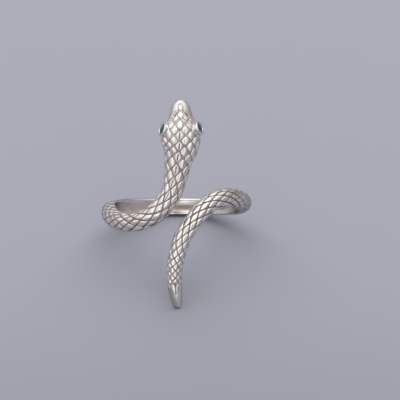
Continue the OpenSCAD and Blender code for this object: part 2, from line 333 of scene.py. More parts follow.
# Columns: turn about the finger from the front, to the right; place along the finger towards the head; width
# across; height above the finger; length of one scale; angle of half a scale on the back; depth of the relief;
# how lens-shaped a scale is, from 0 (a rhombus) to 1; roll of the pattern about the body; oxide in the grooves
turnCol, alongCol, widthCol, heightCol, scaleCol, spreadCol, reliefCol, lensCol, rollCol, oxideCol = range(10)
stations = np.array([
    (4.1, 14.78, 0.95, 0.85, 1.14, 22, 0, 1, -4, 0.95),
    (4.1, 14.64, 1.7, 1.22, 1.15, 22, 0, 1, -4, 0.95),
    (4.1, 14.38, 2.28, 1.55, 1.16, 22, 1, 1, -4, 0.95),
    (4.2, 14, 2.66, 1.8, 1.2, 22, 1, 1, -4, 0.95),
    (4.3, 13.4, 2.93, 2.08, 1.25, 22, 1, 1, -4, 0.95),
    (4.3, 12.85, 3.26, 2.3, 1.31, 21, 1, 1, -6, 0.95),
    (4.3, 12.2, 3.88, 2.52, 1.35, 20, 1, 1, -7, 0.62),
    (4.2, 11.2, 4.75, 2.8, 1.37, 19, 1, 1, -6, 0.62),
    (4.1, 10.1, 5.42, 2.9, 1.37, 19, 1, 1, -6, 0.62),
    (4.1, 9.2, 5.25, 2.85, 1.45, 18.5, 1, 1, -6.5, 0.72),
    (3.8, 8.2, 4.68, 2.75, 1.6, 20.5, 1, 1, -8, 0.75),
    (2.7, 7.24, 4.07, 2.6, 1.7, 23.5, 1, 1, -7, 0.75),
    (1.8, 6.41, 3.68, 2.5, 1.88, 27, 1, 0.9, -6, 0.8),
    (1, 5.44, 3.37, 2.4, 1.92, 28, 1, 0.7, -6, 0.8),
    (-0.3, 4.34, 3.14, 2.3, 1.89, 28, 1, 0.5, -8, 0.8),
    (-1.8, 3.24, 2.95, 2.25, 1.91, 26, 1, 0.3, -12, 0.8),
    (-5.4, 1.78, 2.72, 2.2, 2.02, 25, 1, 0.1, -8, 0.85),
    (-16.4, -0.36, 2.75, 2.15, 1.99, 23.5, 1, 0, 6, 0.85),
    (-30.4, -1.61, 2.58, 2.1, 1.85, 25, 1, 0, 2, 1),
    (-41.9, -1.9, 2.52, 2.05, 1.84, 25, 1, 0, 1, 1),
    (-58.4, -1.74, 2.5, 2, 1.85, 25, 0.85, 0, 8, 1),
    (-75, -1.2, 2.5, 1.97, 1.83, 25, 0.65, 0, 7, 1),
    (-90, -0.62, 2.5, 1.96, 1.87, 25, 0.48, 0, 5, 1.25),
    (-103, -0.4, 2.48, 1.93, 2.19, 25, 0.48, 0, 3, 1.25),
    (-117, -0.27, 2.45, 1.9, 3.03, 30, 0, 0, 0, 1),
    (-145, -0.2, 2.4, 1.76, 4.31, 30, 0, 0, 0, 1),
    (-180, -0.18, 2.38, 1.69, 4.97, 30, 0, 0, 0, 1),
    (-215, -0.16, 2.4, 1.76, 4.05, 30, 0, 0, 0, 1),
    (-243, 0.02, 2.45, 1.9, 2.85, 30, 0, 0, -2, 1),
    (-257, 0.28, 2.48, 1.93, 2.13, 22, 0.32, 0, -5, 1.3),
    (-270, 0.62, 2.5, 1.96, 1.92, 21, 0.36, 0, -8, 1.3),
    (-290, 1.2, 2.5, 2, 1.96, 21, 0.62, 0, -8, 1.1),
    (-312, 1.54, 2.5, 2, 1.9, 21.5, 1, 0, -8, 1),
    (-330, 0.72, 2.45, 2.05, 1.98, 24, 1, 0, -6, 1),
    (-341.8, -0.97, 2.4, 2.05, 2.04, 26, 1, 0, -3, 1),
    (-353.1, -3.55, 2.38, 2.05, 1.92, 26, 1, 0, 11, 0.85),
    (-357.5, -5.31, 2.36, 2, 1.46, 28, 1, 0, 11, 0.72),
    (-360, -7.16, 2.23, 1.9, 1.11, 30, 1, 0, 10, 0.72),
    (-361, -8.39, 2.08, 1.8, 1.04, 30, 1, 0, 10, 0.72),
    (-361.1, -9.73, 1.96, 1.65, 0.99, 30, 1, 0, 10, 0.72),
    (-360.9, -10.4, 1.95, 1.55, 0.99, 30, 1, 0, 10, 0.72),
    (-360.6, -11.1, 1.88, 1.42, 0.97, 30, 1, 0, 10, 0.72),
    (-360.1, -11.93, 1.72, 1.22, 0.9, 30, 1, 0, 10, 0.72),
    (-359.4, -12.76, 1.36, 0.98, 0.84, 30, 1, 0, 10, 0.72),
    (-359, -13.25, 0.98, 0.78, 0.8, 30, 1, 0, 10, 0.72),
    (-359, -13.5, 0.6, 0.62, 0.79, 30, 0, 0, 10, 0.72),
])
gaps = np.diff(stations[:, :2], axis=0)
knots = np.concatenate([[0], np.cumsum(np.hypot(np.radians(gaps[:, 0]) * snake["pathR"], gaps[:, 1]))])
before = np.maximum(np.arange(len(knots)) - 1, 0)
after = np.minimum(np.arange(len(knots)) + 1, len(knots) - 1)
slopes = (stations[after] - stations[before]) / (knots[after] - knots[before])[:, None]


# All columns at distances u from the snout, as smooth curves through the stations
def stationAt(u):
    u = np.clip(np.atleast_1d(u), 0, knots[-1])
    k = np.clip(np.searchsorted(knots, u, side="right") - 1, 0, len(knots) - 2)
    h = (knots[k + 1] - knots[k])[:, None]
    t = (u - knots[k])[:, None] / h
    return ((2 * t**3 - 3 * t**2 + 1) * stations[k] + (t**3 - 2 * t**2 + t) * h * slopes[k]
            + (3 * t**2 - 2 * t**3) * stations[k + 1] + (t**3 - t**2) * h * slopes[k + 1])


def centreOf(s):
    r = snake["fingerR"] + snake["bellyShare"] * s[:, heightCol]
    turn = np.radians(s[:, turnCol])
    return np.stack([r * np.sin(turn), -r * np.cos(turn), s[:, alongCol]], 1)


def unit(v):
    return v / np.linalg.norm(v, axis=1, keepdims=True)


def smooth(value, start, end):
    t = np.clip((value - start) / (end - start), 0, 1)
    return t * t * (3 - 2 * t)


# Distances of the scale corners from the snout, half a scale apart
def latticeRows():
    found = list(snake["snoutRings"])
    u = snake["firstScale"]
    while u <= knots[-1] - snake["shortestEnd"]:
        found.append(u)
        u += stationAt(u)[0, scaleCol] / 2
    return np.array(found + [knots[-1]])


rows = latticeRows()
lastRow = len(rows) - 1


# A straight line with one unit for each row of the lattice, which carries the sections as attributes
def makeGuide(partsPerRow=12, pathStep=0.02):
    count = lastRow * partsPerRow + 1
    row = np.arange(count) / partsPerRow
    u = np.interp(row, np.arange(len(rows)), rows)
    s = stationAt(u)
    ahead = centreOf(stationAt(u + pathStep)) - centreOf(stationAt(u - pathStep))
    turn = np.radians(s[:, turnCol])
    away = np.stack([np.sin(turn), -np.cos(turn), 0 * turn], 1)
    across = unit(np.cross(ahead, away))
    half = s[:, widthCol] / 2
    up = (1 - snake["bellyShare"]) * s[:, heightCol]
    down = snake["bellyShare"] * s[:, heightCol] + snake["bite"]
    relief = np.clip(s[:, reliefCol], 0, 1)
    flute = 1 - smooth(np.abs(s[:, turnCol] + 180), snake["fluteFrom"], snake["fluteTo"])
    guide = newPiece("guide", np.stack([row, 0 * row, 0 * row], 1), [], vectors={
        "centre": centreOf(s),
        "across": across,
        "away": unit(np.cross(across, ahead)),
        "sizes": np.stack([half, up, down], 1),
        "lattice": np.stack([s[:, spreadCol], s[:, rollCol], relief], 1),
        "marks": np.stack([s[:, lensCol], s[:, oxideCol], flute * snake["fluteDepth"]], 1),
    })
    guide.data.edges.add(count - 1)
    pairs = np.stack([np.arange(count - 1), np.arange(1, count)], 1)
    guide.data.edges.foreach_set("vertices", pairs.ravel().astype(np.int32))
    guide.data.update()
    return guide


# Group that puts a place of the lattice (row, column, rise above the plain skin) on the snake
def makeSkinGroup():
    tree, b, given = newTree("on the skin", [
        ("Guide", "NodeSocketGeometry", None),
        ("Row", "NodeSocketFloat", 0),
        ("Column", "NodeSocketFloat", 0),
        ("Rise", "NodeSocketFloat", 0),
        ("Finger Radius", "NodeSocketFloat", snake["fingerR"]),
        ("Wall Softness", "NodeSocketFloat", snake["wallSoftness"]),
    ], [
        ("Position", "NodeSocketVector"), ("Centre", "NodeSocketVector"), ("Lens", "NodeSocketFloat"),
        ("Oxide", "NodeSocketFloat"), ("Oxide And Shade", "NodeSocketFloat"),
    ])
    line = b.add("GeometryNodeMeshToCurve", {}, {"Mesh": given["Guide"]})[0]

    def sampled(name):
        read = b.add("GeometryNodeInputNamedAttribute", {"data_type": "FLOAT_VECTOR"}, {"Name": name})[0]
        settings = {"mode": "LENGTH", "data_type": "FLOAT_VECTOR"}
        values = {"Curves": line, "Value": read, "Length": given["Row"]}
        return b.add("GeometryNodeSampleCurve", settings, values)[0]

    centre, across, away = sampled("centre"), sampled("across"), sampled("away")
    half, up, down = b.parts(sampled("sizes"))
    spread, roll, relief = b.parts(sampled("lattice"))
    lens, oxide, flute = b.parts(sampled("marks"))
    beyond = given["Column"] > snake["columns"] / 2
    k = given["Column"] - beyond * snake["columns"]
    over = k.abs().min(snake["crown"])
    fromMiddle = over * spread + (k.abs() - over) * (180 / snake["crown"] - spread)
    fromBack = k.sign() * fromMiddle + roll
    angle = fromBack * (math.pi / 180)
    sine, cosine = angle.sin() * -1, angle.cos()
    low = cosine < 0
    fullness = 1 - low * (1 - snake["bellyFullness"])
    outAcross = half * sine.sign() * sine.abs() ** fullness
    outAway = (up + (down - up) * low) * cosine.sign() * cosine.abs() ** fullness
    leanAcross, leanAway = b.parts(b.vector("NORMALIZE", b.joined(sine / half, cosine / up, 0)))[:2]
    lift = b.vector("ADD", b.scaled(across, leanAcross), b.scaled(away, leanAway))
    raised = relief * (1 - fromBack.abs().ramp(snake["fullTo"], snake["goneAt"]))
    plain = b.vector("ADD", centre, b.vector("ADD", b.scaled(across, outAcross), b.scaled(away, outAway)))
    spot = b.vector("ADD", plain, b.scaled(lift, given["Rise"] * raised))
    x, y, z = b.parts(spot)
    r = (x * x + y * y) ** 0.5

    # The finger's surface cuts the section off, with the hollow in it at the back
    fromLine = (z - b.parts(centre)[2]) / half
    inside = r < given["Finger Radius"] + snake["fluteSkin"]
    hollowed = flute * (1 - fromLine.abs().ramp(*snake["fluteAcross"])) * inside
    outside = r.maths("SMOOTH_MAX", r, given["Finger Radius"] + hollowed, given["Wall Softness"])
    # Oxide in the hollow together with painted shade, more of it to the right
    thinned = 1 - fromLine.ramp(*innerOxideAndShade["headSide"]) * innerOxideAndShade["thinner"]
    oxideAndShade = thinned * (x.ramp(*innerOxideAndShade["fromLeft"]) * innerOxideAndShade["more"] + innerOxideAndShade["left"])
    endTree(b, {
        "Position": b.joined(x * (outside / r), y * (outside / r), z),
        "Centre": centre,
        "Lens": lens,
        "Oxide": raised * oxide,
        "Oxide And Shade": oxideAndShade * hollowed * (innerOxideAndShade["amount"] / snake["fluteDepth"]),
    })
    return tree


# Share of the groove's depth and of the dome's rise at a share of the way from a scale's middle to its edge.
# Lean says how far a ring follows the rim's own shape and tilt.
scaleProfile = np.array([
    # share, depth, dome, lean
    (0.00, 0.00, 1.00, 1.00),
    (0.18, 0.00, 0.95, 1.00),
    (0.40, 0.00, 0.76, 1.00),
    (0.62, 0.00, 0.42, 1.00),
    (0.79, 0.02, 0.05, 1.00),
    (0.85, 0.18, 0.00, 1.00),
    (0.90, 0.55, 0.00, 0.92),
    (0.95, 0.92, 0.00, 0.70),
    (1.00, 1.00, 0.00, 0.00),
])


def profileAt(share):
    return [np.interp(share, scaleProfile[:, 0], scaleProfile[:, n]) for n in (1, 2, 3)]


# One scale in lattice units: rings of points from its edge to its middle
def makeScalePatch():
    steps = snake["steps"]
    corners = np.array([(1, 0), (0, 1), (-1, 0), (0, -1)], float)
    edge = [corners[q] + (corners[(q + 1) % 4] - corners[q]) * n / steps for q in range(4) for n in range(steps)]
    shares = scaleProfile[:0:-1, 0]
    count = len(edge)
    points = [p * share for share in shares for p in edge] + [np.zeros(2)]
    share = np.append(np.repeat(shares, count), 0)
    faces = []
    for ring in range(len(shares) - 1):
        for n in range(count):
            a, b = ring * count + n, ring * count + (n + 1) % count
            faces.append((a, b, b + count, a + count))
    inner = (len(shares) - 1) * count
    faces += [(inner + n, inner + (n + 1) % count, len(points) - 1) for n in range(count)]
    points = np.array([(p[0], p[1], 0) for p in points])
    depth, dome, lean = profileAt(share)
    return newPiece("scale patch", points, faces, {"depth": depth, "dome": dome, "lean": lean}, {"offset": points})


# Studs and short bars on the snout. Columns: distance from the end of the snout; place to the right of the
# middle, seen from the front; half length; half width; turn of the length away from the path; rise
studs = np.array([
    (0.88, -0.10, 0.36, 0.29, 0, 0.075),
    (1.97, -0.12, 0.48, 0.37, 0, 0.085),
    (1.58, 0.60, 0.46, 0.12, 39, 0.05),
    (1.57, -0.75, 0.46, 0.11, -40, 0.045),
    (2.80, 0.66, 0.46, 0.14, 45, 0.06),
    (2.86, -0.74, 0.38, 0.13, -41, 0.06),
    (2.58, 1.32, 0.26, 0.22, 20, 0.05),
    (2.62, -1.45, 0.24, 0.18, -20, 0.03),
])
# Grooves on the snout and on the tail tip. Columns: distance and place to the right at one end and at the
# other; half width; depth
grooves = np.array([
    (0.47, -0.40, 0.47, 0.25, 0.08, 0.03),
    (1.25, 0.15, 2.00, 0.80, 0.08, 0.08),
    (1.25, -0.36, 2.10, -0.98, 0.08, 0.08),
    (1.96, 0.78, 2.06, 0.86, 0.11, 0.12),
    (2.03, -0.92, 2.13, -1.00, 0.09, 0.11),
    (2.25, -1.08, 2.78, -1.40, 0.07, 0.05),
    (2.78, -1.40, 3.20, -1.50, 0.06, 0.04),
    (2.10, 0.92, 2.37, 1.40, 0.07, 0.05),
    (2.37, 1.42, 2.78, 1.56, 0.07, 0.05),
    (2.30, 0.12, 3.15, 1.06, 0.08, 0.07),
    (2.30, -0.32, 3.12, -1.02, 0.08, 0.07),
    (2.80, 1.05, 3.20, 1.02, 0.06, 0.05),
    (82.02, 0.12, 83.75, 0.07, 0.08, 0.13),
])
# Shaded sides of the tail tip. Columns: distance; place to the right up to which the left shade reaches, and
# from which the right one starts
tipShade = np.array([(82.4, -0.75), (83.8, 0.2), (85.3, 0.12)])
tipShadeRight = np.array([(82.4, 0.85), (83.2, 0.76), (84.1, 0.65), (85.3, 0.4)])
moat = {"at": 0.08, "width": 0.10, "depth": 0.05, "oxide": 0.8}
studPower = 1.4      # 1 would make the studs rhombi, 2 ellipses
grooveOxide = {"gain": 1.8, "fullDepth": 0.06}
shading = {"softLeft": 0.12, "softRight": 0.1, "right": 0.6, "fadeIn": 0.3}


# Rise in mm and darkness of the studs and grooves, and the shade of the tip, at places (row, column)
def castOn(places):
    u = np.interp(places[:, 0], np.arange(len(rows)), rows)
    s = stationAt(u)
    column = places[:, 1]
    k = np.where(column > snake["columns"] / 2, column - snake["columns"], column)
    over = np.minimum(np.abs(k), snake["crown"])
    fromMiddle = over * s[:, spreadCol] + (np.abs(k) - over) * (180 / snake["crown"] - s[:, spreadCol])
    angle = np.radians(np.sign(k) * fromMiddle + s[:, rollCol])
    side = s[:, widthCol] / 2 * np.sin(angle)
    onBack = np.cos(angle) > 0
    rise, dark = 0 * u, 0 * u
    for atU, atSide, long, wide, turn, height in studs:
        a = math.radians(turn)
        along = (u - atU) * math.cos(a) + (side - atSide) * math.sin(a)
        across = (side - atSide) * math.cos(a) - (u - atU) * math.sin(a)
        reach = (np.abs(along / long) ** studPower + np.abs(across / wide) ** studPower) ** (1 / studPower)
        beyond = np.hypot(along, across) * (1 - 1 / np.maximum(reach, 0.01))
        ring = np.exp(-((beyond - moat["at"]) / moat["width"]) ** 2) * (reach > 1)
        rise = np.maximum(rise, height * np.clip(1 - reach**2, 0, 1)) - moat["depth"] * ring * (rise <= 0)
        dark = np.where(reach < 1, 0, np.maximum(dark, ring * moat["oxide"]))
    for u0, side0, u1, side1, wide, depth in grooves:
        span = np.array((u1 - u0, side1 - side0))
        share = np.clip(((u - u0) * span[0] + (side - side0) * span[1]) / (span @ span), 0, 1)
        off = np.hypot(u - u0 - share * span[0], side - side0 - share * span[1])
        cut = np.exp(-(off / wide) ** 2)
        rise = rise - depth * cut
        oxide = np.minimum(cut * grooveOxide["gain"], 1) * min(depth / grooveOxide["fullDepth"], 1)
        dark = np.maximum(dark, oxide)
    left, right, fade = shading["softLeft"], shading["softRight"], shading["fadeIn"]
    shadedLeft = 1 - smooth(side - np.interp(u, *tipShade.T), -left, left)
    shadedRight = smooth(side - np.interp(u, *tipShadeRight.T), -right, right)
    start = tipShade[0, 0]
    shade = np.maximum(shadedLeft, shadedRight * shading["right"]) * smooth(u, start - fade, start + fade)
    return rise * onBack, dark * onBack, shade


# Depth and dome of the ends of the lattice, at places just beyond its first and last rows
def endScalesOn(places):
    first, last, side = (snake[key] for key in ("scaledFrom", "scaledTo", "sideColumn"))
    x, y = places[:, 0], places[:, 1]
    y = np.where(y > snake["columns"] / 2, y - snake["columns"], y)
    dx = np.where(x < first, first - x, x - last)
    dy = np.abs(y - 2 * np.round(np.clip(y, 1 - side, side - 1) / 2))
    lens = stationAt(np.interp(x, np.arange(len(rows)), rows))[:, lensCol]
    cut = snake["rhombusCut"] + (snake["cornerCut"] - snake["rhombusCut"]) * lens
    towardsSide = np.clip((dy - dx) / (dx + dy + 0.01), 0, 1)
    share = (dx + dy) / (1 - cut * towardsSide ** scaleMarks["cutPower"])
    depth, dome = profileAt(np.minimum(share, 1))[:2]
    beyond = np.maximum(1 - smooth(share, 1, scaleMarks["endShare"]), 1 - smooth(dx, *scaleMarks["endRows"]))
    inLattice = np.abs(y) <= side
    return np.where(share > 1, beyond, depth) * inLattice, dome * inLattice


# Everything between and beyond the raised scales, in lattice units: the snout, the tail tip, the underside and
# the half scales that close the lattice at its edges
def makePlainSkin():
    points, faces, depths, domes, leans, inward, offsets = [], [], [], [], [], [], []
    first, last, side, steps = (snake[key] for key in ("scaledFrom", "scaledTo", "sideColumn", "steps"))
    bottom = np.arange(side, snake["columns"] - side + 0.01, 1 / snake["bottomParts"])
    back = np.arange(-side * snake["fineParts"], side * snake["fineParts"] + 1) / snake["fineParts"]
    around = np.concatenate([back, bottom[1:]])

    def addPoint(x, y, depth=0, dome=0, lean=0, pull=0, offset=(0, 0)):
        points.append((x, y, 0))
        depths.append(depth)
        domes.append(dome)
        leans.append(lean)
        inward.append(pull)
        offsets.append((offset[0], offset[1], 0))
        return len(points) - 1

    def addGrid(grid):      # rows of point numbers
        for low, high in zip(grid, grid[1:]):
            for j in range(len(low) - 1):
                faces.append((low[j], high[j], high[j + 1], low[j + 1]))

    def addZip(low, lowAt, high, highAt):      # triangles between two rows of points with their own spacing
        i = j = 0
        while i < len(low) - 1 or j < len(high) - 1:
            if i == len(low) - 1 or (j < len(high) - 1 and highAt[j + 1] <= lowAt[i + 1]):
                faces.append((low[i], high[j], high[j + 1]))
                j += 1
            else:
                faces.append((low[i], high[j], low[i + 1]))
                i += 1

    def endRows(places, pulls):      # rings round the snout or the tail tip
        spots = np.array([(x, y) for x in places for y in around])
        depth, dome = endScalesOn(spots)
        pull = np.repeat(pulls, len(around))
        numbers = [addPoint(*spot, depth[n], dome[n], 0, pull[n]) for n, spot in enumerate(spots)]
        return [numbers[n:n + len(around)] for n in range(0, len(numbers), len(around))]

    # Half of a scale on the first or last row; gives its points along that row
    def addEndScale(row, column, facing):
        rings = []
        for share, depth, dome, lean in scaleProfile[:0:-1]:
            arc = [(facing * (1 - abs(t)) * share, t * share) for t in np.linspace(-1, 1, 2 * steps + 1)]
            rings.append([addPoint(row + x, column + y, depth, dome, lean, 0, (x, y)) for x, y in arc])
        middle = addPoint(row, column, 0, 1, 1)
        new = []
        for outer, inner in zip(rings, rings[1:]):
            new += [(outer[n], outer[n + 1], inner[n + 1], inner[n]) for n in range(2 * steps)]
        new += [(rings[-1][n], rings[-1][n + 1], middle) for n in range(2 * steps)]
        faces.extend(new if facing > 0 else [f[::-1] for f in new])
        return [r[0] for r in rings] + [middle] + [r[-1] for r in rings[::-1]]

    def addSideScale(middle, across):      # a triangle of points from its long edge to its corner
        index = {}
        for n in range(steps + 1):
            for p in range(steps - n + 1):
                x, y = -1 + n / steps + 2 * p / steps, across * n / steps
                depth, dome = profileAt(min(abs(x) + abs(y), 1))[:2]
                index[n, p] = addPoint(middle[0] + x, middle[1] + y, depth, dome)
        for n in range(steps):
            for p in range(steps - n):
                new = [(index[n, p], index[n, p + 1], index[n + 1, p])]
                if p < steps - n - 1:
                    new.append((index[n, p + 1], index[n + 1, p + 1], index[n + 1, p]))
                faces.extend(new if across > 0 else [f[::-1] for f in new])

    def edgeRow(row, facing):      # the whole row where the lattice ends, with its places
        found = []
        for j in range(1 - side, side, 2):      # neighbours share a point
            found += addEndScale(row, j, facing)[1 if found else 0:]
        found += under[0 if facing > 0 else -1][1:]
        return found, [points[n][1] for n in found]

    under = []
    for x in np.arange(first * 3, last * 3 + 1) / 3:
        line = []
        for y in bottom:
            edge = y in (side, snake["columns"] - side)
            depth, dome = profileAt(abs(x - 1 - 2 * round((x - 1) / 2)))[:2] if edge else (0, 0)
            line.append(addPoint(x, y, depth, dome))
        under.append(line)
    addGrid(under)
    for i in range(first + 1, last, 2):
        addSideScale((i, side), -1)
        addSideScale((i, -side), 1)

    step = snake["plainStep"]
    everyRow = np.arange(len(rows))
    snout = np.interp(np.arange(rows[first] - step, snake["capInset"], -step)[::-1], rows, everyRow)
    grid = endRows([0, 0.1, *snout], [1, 0.5] + [0] * len(snout))      # the first two rings close the end
    addGrid(grid)
    addZip(grid[-1], around, *edgeRow(first, 1))
    tip = np.interp(np.arange(rows[last] + step, rows[-1] - snake["capInset"], step), rows, everyRow)
    grid = endRows([*tip, lastRow - 0.01, lastRow], [0] * len(tip) + [0.5, 1])
    addGrid(grid)
    addZip(*edgeRow(last, -1), grid[0], around)

    spots = np.array(points)
    rise, dark, shade = castOn(spots)
    beyond = (spots[:, 0] < first) | (spots[:, 0] > last)
    numbers = {"depth": depths, "dome": domes, "lean": leans, "toCentre": inward,
               "cast": rise * beyond, "dark": dark * beyond, "shade": shade * beyond}
    return newPiece("snake_skin", points, faces, numbers, {"offset": offsets})


def makeScalePlaces():
    side = snake["sideColumn"]
    places = [(i, j, 0) for i in range(snake["scaledFrom"] + 1, snake["scaledTo"]) for j in range(1 - side, side)
              if (i + j) % 2 == 0]
    return newPiece("scale places", places, [], {"scaleNumber": np.arange(len(places))})


# The skin tree's sizes by the name of its input
skinSizes = {
    "Groove Depth": snake["grooveDepth"],
    "Dome Rise": snake["domeRise"],
    "Ridge": snake["ridge"],
    "Tilt": snake["tilt"],
    "Corner Cut": snake["cornerCut"],
    "Rhombus Cut": snake["rhombusCut"],
    "Side Widening": snake["sideWidening"],
    "Slit Depth": snake["slitDepth"],
    "Slits From": snake["slitRows"][0],
    "Slits To": snake["slitRows"][1],
    "Finger Radius": snake["fingerR"],
    "Wall Softness": snake["wallSoftness"],
}


# Tree that sets a scale on every place, bends the lattice round the finger and raises the relief
def makeSkinTree(skinGroup):
    tree, b, given = newTree("scaled skin", [
        ("Geometry", "NodeSocketGeometry", None),
        ("Guide", "NodeSocketObject", None),
        ("Scale Places", "NodeSocketObject", None),
        ("Scale", "NodeSocketObject", None),
        *((label, "NodeSocketFloat", size) for label, size in skinSizes.items()),
        ("Seed", "NodeSocketInt", snake["seed"]),
        ("Material", "NodeSocketMaterial", None),
    ], [("Geometry", "NodeSocketGeometry")])

    def shapeOf(name):
        return b.add("GeometryNodeObjectInfo", {"transform_space": "ORIGINAL"}, {"Object": given[name]})[-1]

    def number(name):
        return b.add("GeometryNodeInputNamedAttribute", {"data_type": "FLOAT"}, {"Name": name})[0]

    def stored(shape, name, value):
        return b.add("GeometryNodeStoreNamedAttribute", {"data_type": "FLOAT", "domain": "POINT"}, {
            "Geometry": shape, "Name": name, "Value": value,
        })[0]

    def skinAt(row, column, rise):
        wires = b.add("GeometryNodeGroup", {"node_tree": skinGroup}, {
            "Guide": shapeOf("Guide"), "Row": row, "Column": column, "Rise": rise,
            "Finger Radius": given["Finger Radius"], "Wall Softness": given["Wall Softness"],
        })
        return {wire.socket.name: wire for wire in wires}

    placed = b.add("GeometryNodeInstanceOnPoints", {}, {
        "Points": shapeOf("Scale Places"), "Instance": shapeOf("Scale"),
    })[0]
    scales = b.add("GeometryNodeRealizeInstances", {}, {"Geometry": placed})[0]
    joined = b.add("GeometryNodeJoinGeometry")[0]
    for wire in (scales, given["Geometry"]):
        b.tree.links.new(wire.socket, joined.socket.node.inputs[0])

    here = b.add("GeometryNodeInputPosition")[0]
    offset = b.add("GeometryNodeInputNamedAttribute", {"data_type": "FLOAT_VECTOR"}, {"Name": "offset"})[0]
    bx, by = b.parts(offset)[:2]
    middleRow, middleColumn = b.parts(b.vector("SUBTRACT", here, offset))[:2]
    lean, depth, dome = number("lean"), number("depth"), number("dome")

    # The rim is cut back at its corners, most at the side corners on the neck and head
    lens = skinAt(middleRow, 0, 0)["Lens"]
    towardsSide = (by.abs() - bx.abs()) / (bx.abs() + by.abs()).max(0.01)
    sideCut = given["Rhombus Cut"] + (given["Corner Cut"] - given["Rhombus Cut"]) * lens
    onSide = middleColumn.abs().ramp(scaleMarks["wideFrom"], scaleMarks["wideTo"]) * (1 - lens)
    atSides = towardsSide.max(0) ** scaleMarks["cutPower"] * sideCut
    atEnds = (towardsSide * -1).max(0) ** scaleMarks["endCutPower"] * given["Rhombus Cut"]
    kept = 1 - lean * (onSide * given["Side Widening"] + atSides + atEnds)

    scaleNumber = number("scaleNumber")

    def tipped(extra):      # from -1 to 1, the same all over one scale
        return b.add("FunctionNodeRandomValue", {"data_type": "FLOAT"}, {
            2: -1, 3: 1, "ID": scaleNumber, "Seed": given["Seed"] + extra,
        })[0]

    tilt = (bx * tipped(0) + by * tipped(1)) * lean * given["Tilt"]
    ridge = by * by * lean * given["Ridge"] * (1 - lens * scaleMarks["lensRidge"])
    onMidline = (middleColumn.abs() < 0.5) * (middleRow > given["Slits From"]) * (middleRow < given["Slits To"])
    narrow = 1 - by.abs().ramp(*scaleMarks["slitHalf"])
    slit = onMidline * narrow * (bx.abs() < scaleMarks["slitReach"]) * lean
    rise = dome * given["Dome Rise"] - ridge + tilt - depth * given["Groove Depth"] + number("cast")
    found = skinAt(middleRow + bx * kept, middleColumn + by * kept, rise - slit * given["Slit Depth"])

    inRhombusGroove = depth.ramp(*scaleMarks["rhombusDark"]) * (1 - lens)
    inGroove = inRhombusGroove + depth.ramp(*scaleMarks["lensDark"]) * lens
    # The hollow's share of the oxide also carries painted shade
    oxide = (inGroove.max(number("dark")) * found["Oxide"]).max(slit).max(found["Oxide And Shade"])
    marked = stored(joined, "oxide", oxide)
    marked = stored(marked, "satin", 1 - middleRow.ramp(*scaleMarks["satinRows"]))
    goal = b.mixed("VECTOR", number("toCentre"), found["Position"], found["Centre"])
    bent = b.add("GeometryNodeSetPosition", {}, {"Geometry": marked, "Position": goal})[0]
    merged = b.add("GeometryNodeMergeByDistance", {}, {
        "Geometry": bent, "Distance": snake["mergeWithin"],
    })[0]
    smoothed = b.add("GeometryNodeSetShadeSmooth", {}, {"Geometry": merged})[0]
    real = b.add("GeometryNodeRealizeInstances", {}, {"Geometry": smoothed})[0]
    dressed = b.add("GeometryNodeSetMaterial", {}, {"Geometry": real, "Material": given["Material"]})[0]
    endTree(b, {"Geometry": dressed})
    return tree


# Silver that is bright on the raised parts and brown with oxide in the grooves, and in the hollow inside the back
# where the brown also stands as painted shade; the tail tip's sides get a grey painted shade
silver = {
    "bright": (0.885, 0.848, 0.838, 1),
    "oxide": (0.185, 0.120, 0.094, 1),
    "shade": (0.59, 0.58, 0.555, 1),
    "edge": (0.47, 0.455, 0.455, 1),        # tint of what it mirrors at its outline
    "crust": 0.85,          # how far the oxide hides the metal
    "crustGloss": 0.15,
    "polish": 0.18,
    "dull": 0.5,
    "satin": 0.14,          # extra roughness on the snout and head
    "cloudScale": 2200,
    "cloudOxide": (0.65, 0.7),      # share of the oxide at least, and what the clouds add
    "cloudRough": 0.08,
    "grainScale": 14000,
    "grainStrength": 0.25,
    "grainHeight": 0.00001,         # metres
}


def makeSilver():
    material = bpy.data.materials.new("silver")
    material.use_nodes = True
    material.node_tree.nodes.clear()
    b = Board(material.node_tree)

    def marked(name):
        return b.add("ShaderNodeAttribute", {"attribute_name": name})[2]

    spot = b.coordinates("Object")
    cloud = b.clouds(spot, silver["cloudScale"], 3)
    grain = b.clouds(spot, silver["grainScale"], 2)
    least, more = silver["cloudOxide"]
    dark = (marked("oxide") * (cloud * more + least)).min(1)
    colour = b.mixed("RGBA", dark, silver["bright"], silver["oxide"])
    shaded = b.mixed("RGBA", marked("shade"), colour, silver["shade"])
    rough = dark * (silver["dull"] - silver["polish"]) + silver["polish"]
    rough = rough + (cloud - 0.5) * silver["cloudRough"]
    bump = b.add("ShaderNodeBump", {}, {
        "Strength": silver["grainStrength"], "Distance": silver["grainHeight"], "Height": grain,
    })[0]
    shader = b.add("ShaderNodeBsdfPrincipled", {}, {
        "Base Color": shaded, "Metallic": 1 - dark * silver["crust"],
        "Roughness": rough + marked("satin") * silver["satin"] * (1 - dark), "Normal": bump,
        "Specular IOR Level": silver["crustGloss"], "Specular Tint": silver["edge"],
    })[0]
    b.add("ShaderNodeOutputMaterial", {}, {0: shader})
    return material


silverLook = makeSilver()
print("building the skin")
guide = makeGuide()
skinGroup = makeSkinGroup()
skinTree = makeSkinTree(skinGroup)
scalePatch = makeScalePatch()
scalePlaces = makeScalePlaces()
body = makePlainSkin()
body.data.materials.append(silverLook)
runTree(body, skinTree, {
    "Guide": guide, "Scale Places": scalePlaces, "Scale": scalePatch,
    **skinSizes, "Seed": snake["seed"], "Material": silverLook,
})
print("skin:", len(body.data.vertices), "points,", len(body.data.polygons), "faces")
body.data.transform(ringPlace)

# No point may pass the solid's box
spots = np.empty(len(body.data.vertices) * 3, np.float32)
body.data.vertices.foreach_get("co", spots)
inBox = np.clip(spots.reshape(-1, 3), *np.array([list(v) for v in cadBox]))
body.data.vertices.foreach_set("co", inBox.astype(np.float32).ravel())
discard(scalePatch, scalePlaces)

